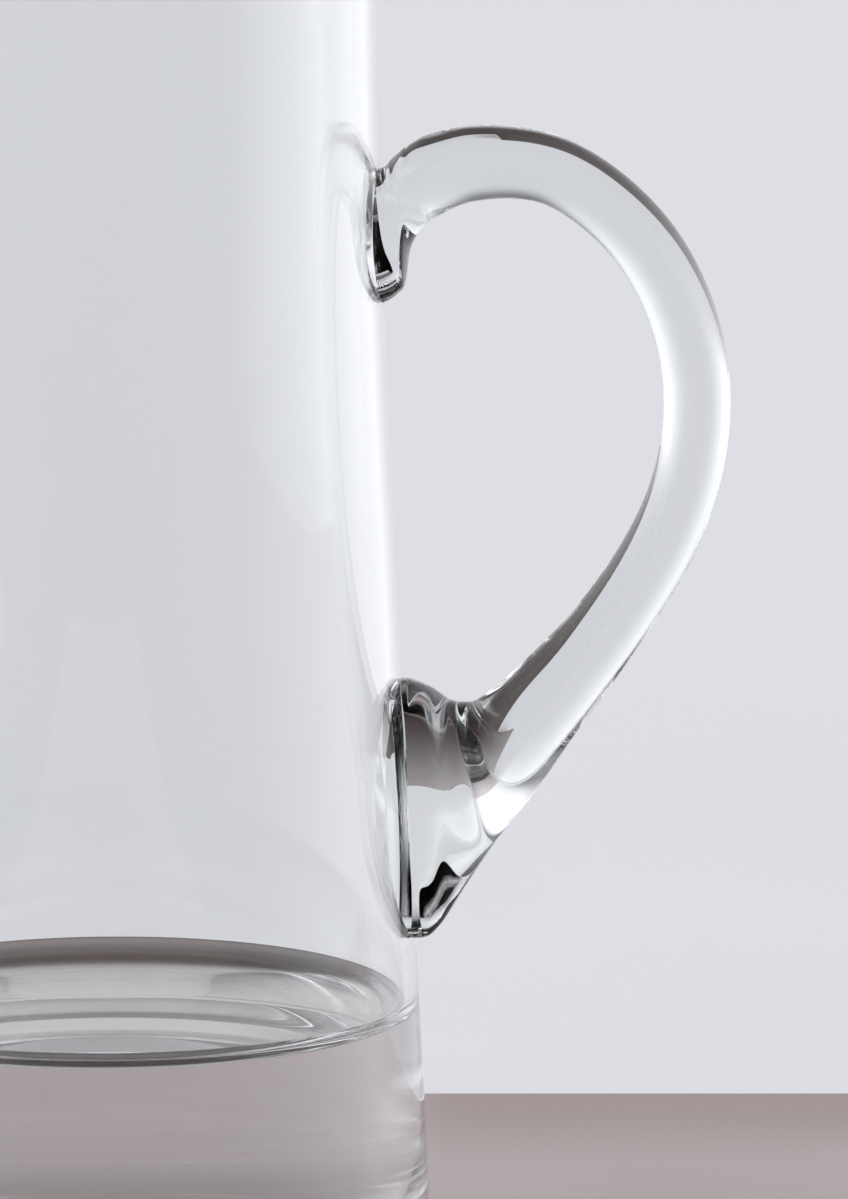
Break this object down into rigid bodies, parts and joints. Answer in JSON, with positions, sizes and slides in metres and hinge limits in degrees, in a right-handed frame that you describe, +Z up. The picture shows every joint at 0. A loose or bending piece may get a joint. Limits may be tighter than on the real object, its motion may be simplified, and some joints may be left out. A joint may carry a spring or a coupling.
{
  "type": "glass pitcher",
  "caption": "Tall clear glass pitcher with a tapering body, heavy base, pulled pouring lip and a solid ear-shaped glass handle fused to the wall, for serving water.",
  "frame": {"origin": "middle of the standing plane, on the axis of the vessel", "axes": "+Z up along the vessel's axis, +X towards the handle, -X towards the pouring lip"},
  "size_m": [0.1595, 0.1098, 0.2502],
  "materials": {
    "vessel_glass": "clear, blown and fire-polished",
    "handle_glass": "clear, solid drawn rod with pressed pads"
  },
  "bodies": {
    "root": {"vessel": "vessel_glass", "handle": "handle_glass"}
  },
  "joints": []
}
